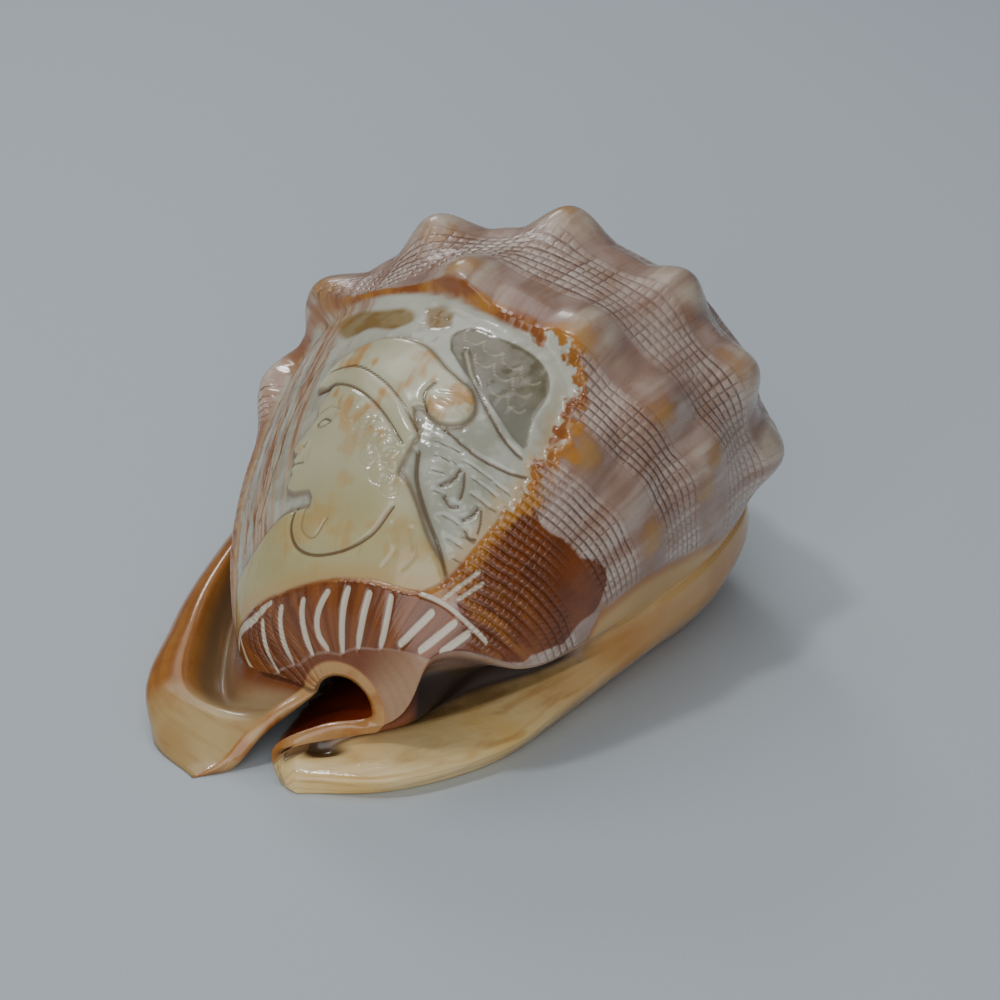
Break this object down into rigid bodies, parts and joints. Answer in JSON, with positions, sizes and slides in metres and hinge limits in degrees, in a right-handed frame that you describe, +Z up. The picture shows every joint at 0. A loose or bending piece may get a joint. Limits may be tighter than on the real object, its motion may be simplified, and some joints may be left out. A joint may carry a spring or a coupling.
{
  "type": "carved helmet shell",
  "caption": "Carved bullmouth helmet shell: a heavy sea shell with knobbed back, rolled lip and a cameo head cut into its back, lying on its mouth.",
  "frame": {"origin": "centre of the shell's bounding box, on the plane that its lip and shield rest on", "axes": "+Z up from the resting plane to the back, +Y from the siphonal canal to the spire, outer lip on the -X side"},
  "size_m": [0.109, 0.1524, 0.0833],
  "materials": {
    "shell": "polished"
  },
  "bodies": {
    "root": {"helmet_shell": "shell"}
  },
  "joints": []
}
